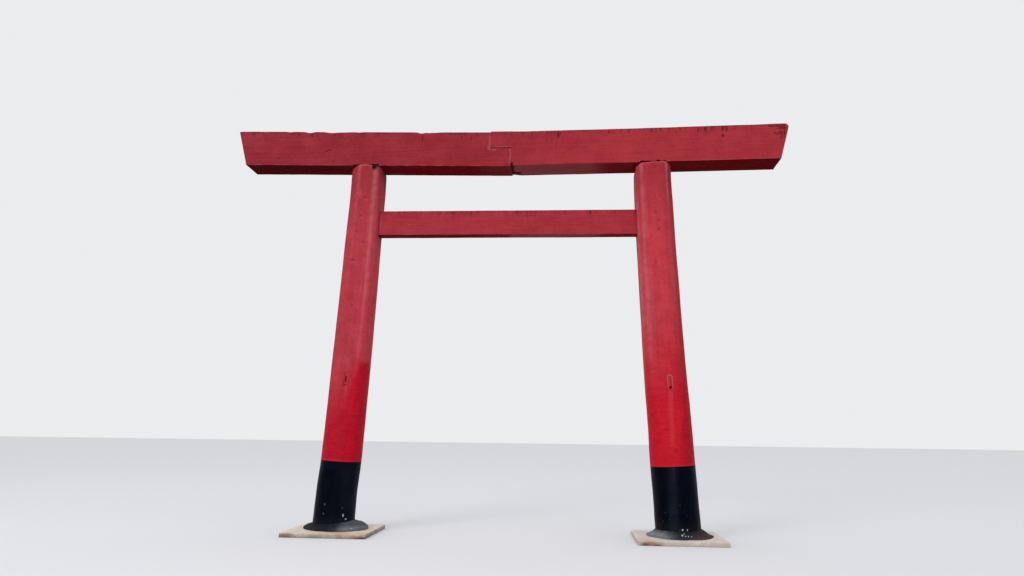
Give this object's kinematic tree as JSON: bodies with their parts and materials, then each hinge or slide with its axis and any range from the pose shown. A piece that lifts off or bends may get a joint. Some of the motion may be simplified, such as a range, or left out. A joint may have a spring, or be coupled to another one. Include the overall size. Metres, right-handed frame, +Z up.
{
  "type": "torii gate",
  "caption": "Red timber torii gate: leaning hewn log posts on stone slabs, a heavy two-part lapped top beam and a tie beam housed between the posts.",
  "frame": {"origin": "on the ground, midway between the two posts and under the beams' middle plane", "axes": "+Z up, +X along the beams to the right as seen from the front, +Y through the gate away from the viewer"},
  "size_m": [6.226, 0.89, 4.4612],
  "materials": {
    "painted_timber": "crimson paint on adzed timber, satin, weathered darker along the top edges",
    "root_band": "smooth black paint on sheet metal, satin, chipped to white near the ground",
    "collar_mortar": "dark grey cement mortar, trowelled, matt and lumpy",
    "slab_stone": "pale sawn granite, matt, with rust-brown stains on its front edge"
  },
  "bodies": {
    "root": {"kasagi_left": "painted_timber", "kasagi_right": "painted_timber", "nuki": "painted_timber", "post_left": "painted_timber", "post_right": "painted_timber", "root_band_left": "root_band", "root_band_right": "root_band", "foot_collar_left": "collar_mortar", "foot_collar_right": "collar_mortar", "base_slab_left": "slab_stone", "base_slab_right": "slab_stone", "patch_left": "painted_timber", "patch_right": "painted_timber"}
  },
  "joints": []
}
